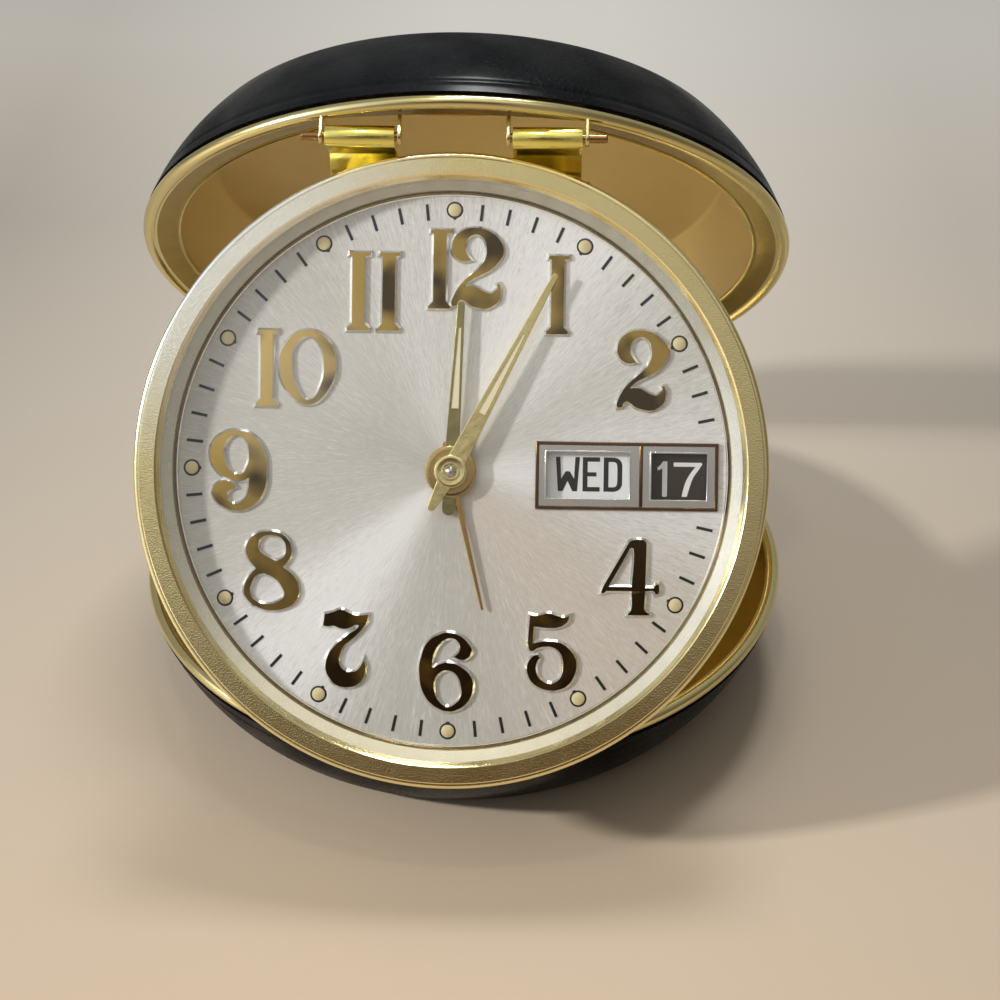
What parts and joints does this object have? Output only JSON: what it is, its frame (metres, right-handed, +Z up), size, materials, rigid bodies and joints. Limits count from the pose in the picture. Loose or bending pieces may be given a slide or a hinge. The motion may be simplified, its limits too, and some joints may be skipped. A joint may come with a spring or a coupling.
{
  "type": "travel alarm clock",
  "caption": "Round folding travel alarm clock with day and date window, standing face up between two hinged leather-covered case shells on gilt straps.",
  "frame": {"origin": "centre of the lower shell's flat underside, on the table", "axes": "+Z up, +Y to the back where the case hinge is, +X to the right of a viewer who faces the dial"},
  "size_m": [0.0806, 0.0921, 0.0814],
  "materials": {
    "leather": "black grained leather, semi-gloss",
    "tan_metal": "satin tan lacquered metal",
    "gold": "polished gilt",
    "champagne": "fine brushed champagne gilt",
    "silver": "silvered, brushed from the centre outwards",
    "steel": "bright steel",
    "brass": "plain brass",
    "crystal": "clear domed crystal",
    "paper": "matt white printed disc",
    "ink": "matt black printed disc"
  },
  "bodies": {
    "lower_case": {"lower_leather_cover": "leather", "lower_tray": "tan_metal", "lower_rim": "gold", "case_hinge_pin": "brass"},
    "upper_case": {"upper_leather_cover": "leather", "upper_tray": "tan_metal", "upper_rim": "gold", "strap_upper_pin_left": "brass", "strap_upper_pin_right": "brass"},
    "clock": {"strap_left": "gold", "strap_right": "gold", "strap_lower_pin_left": "brass", "strap_lower_pin_right": "brass", "strap_bracket_left": "brass", "strap_bracket_right": "brass", "bezel": "champagne", "crystal": "crystal", "reflector_ring": "champagne", "dial": "silver", "calendar_frame": "silver", "clock_drum": "gold", "back_cover": "gold", "movement_front_plate": "brass", "movement_back_plate": "brass", "plate_pillar_1": "brass", "plate_pillar_2": "brass", "plate_pillar_3": "brass", "plate_pillar_4": "brass", "time_barrel": "brass", "alarm_barrel": "brass", "balance_wheel": "brass", "hand_post": "steel"},
    "time_knob": {"time_setting_knob": "brass"},
    "minute_hand": {"minute_hand": "gold"},
    "hour_hand": {"hour_hand": "gold"},
    "day_disc": {"day_disc": "paper"},
    "date_disc": {"date_disc": "ink"},
    "alarm_knob": {"alarm_setting_knob": "brass"},
    "alarm_hand": {"alarm_hand": "gold"},
    "time_key": {"time_winding_key": "brass"},
    "alarm_key": {"alarm_winding_key": "brass"},
    "stop_button": {"alarm_stop_button": "brass"},
    "calendar_button": {"calendar_button": "brass"},
    "regulator": {"regulator_lever": "steel"}
  },
  "joints": [
    {"name": "case_hinge", "type": "hinge", "parent": "lower_case", "child": "upper_case", "pos_m": [0, 0.0415, 0.01418], "axis": [-1, 0, 0], "range_deg": [0, 127.8]},
    {"name": "clock_hinge", "type": "hinge", "parent": "upper_case", "child": "clock", "pos_m": [0, -0.00761, 0.07455], "axis": [1, 0, 0], "range_deg": [0, 71.2]},
    {"name": "time_setting", "type": "hinge", "parent": "clock", "child": "time_knob", "pos_m": [-0.0075, -0.01437, 0.04631], "axis": [0, 0.8348, -0.5505], "continuous": true},
    {"name": "minute_hand_turn", "type": "hinge", "parent": "clock", "child": "minute_hand", "pos_m": [0, -0.02642, 0.04348], "axis": [0, 0.8348, -0.5505], "continuous": true},
    {"name": "hour_hand_turn", "type": "hinge", "parent": "clock", "child": "hour_hand", "pos_m": [0, -0.02642, 0.04348], "axis": [0, 0.8348, -0.5505], "continuous": true},
    {"name": "day_disc_turn", "type": "hinge", "parent": "clock", "child": "day_disc", "pos_m": [0, -0.02642, 0.04348], "axis": [0, 0.8348, -0.5505], "continuous": true},
    {"name": "date_disc_turn", "type": "hinge", "parent": "clock", "child": "date_disc", "pos_m": [0, -0.02642, 0.04348], "axis": [0, 0.8348, -0.5505], "continuous": true},
    {"name": "alarm_setting", "type": "hinge", "parent": "clock", "child": "alarm_knob", "pos_m": [0.0075, -0.01437, 0.04631], "axis": [0, 0.8348, -0.5505], "continuous": true},
    {"name": "alarm_hand_turn", "type": "hinge", "parent": "clock", "child": "alarm_hand", "pos_m": [0, -0.02642, 0.04348], "axis": [0, 0.8348, -0.5505], "continuous": true},
    {"name": "time_winding", "type": "hinge", "parent": "clock", "child": "time_key", "pos_m": [-0.0115, -0.02318, 0.03295], "axis": [0, 0.8348, -0.5505], "continuous": true},
    {"name": "alarm_winding", "type": "hinge", "parent": "clock", "child": "alarm_key", "pos_m": [0.0115, -0.02318, 0.03295], "axis": [0, 0.8348, -0.5505], "continuous": true},
    {"name": "alarm_stop_press", "type": "slide", "parent": "clock", "child": "stop_button", "axis": [0, -0.8348, 0.5505], "range_m": [0, 0.0006], "stiffness_N_per_m": 400},
    {"name": "calendar_press", "type": "slide", "parent": "clock", "child": "calendar_button", "axis": [0, -0.8348, 0.5505], "range_m": [0, 0.0006], "stiffness_N_per_m": 400},
    {"name": "regulator_swing", "type": "hinge", "parent": "clock", "child": "regulator", "pos_m": [0, -0.02978, 0.02294], "axis": [0, 0.8348, -0.5505], "range_deg": [-20, 20]}
  ],
  "couplings": [
    {"joint": "clock_hinge", "follows": "case_hinge", "ratio": 0.5571},
    {"joint": "minute_hand_turn", "follows": "time_setting", "ratio": -1},
    {"joint": "hour_hand_turn", "follows": "time_setting", "ratio": -0.083333},
    {"joint": "day_disc_turn", "follows": "time_setting", "ratio": -0.0059524},
    {"joint": "date_disc_turn", "follows": "time_setting", "ratio": -0.0013441},
    {"joint": "alarm_hand_turn", "follows": "alarm_setting", "ratio": -1}
  ]
}
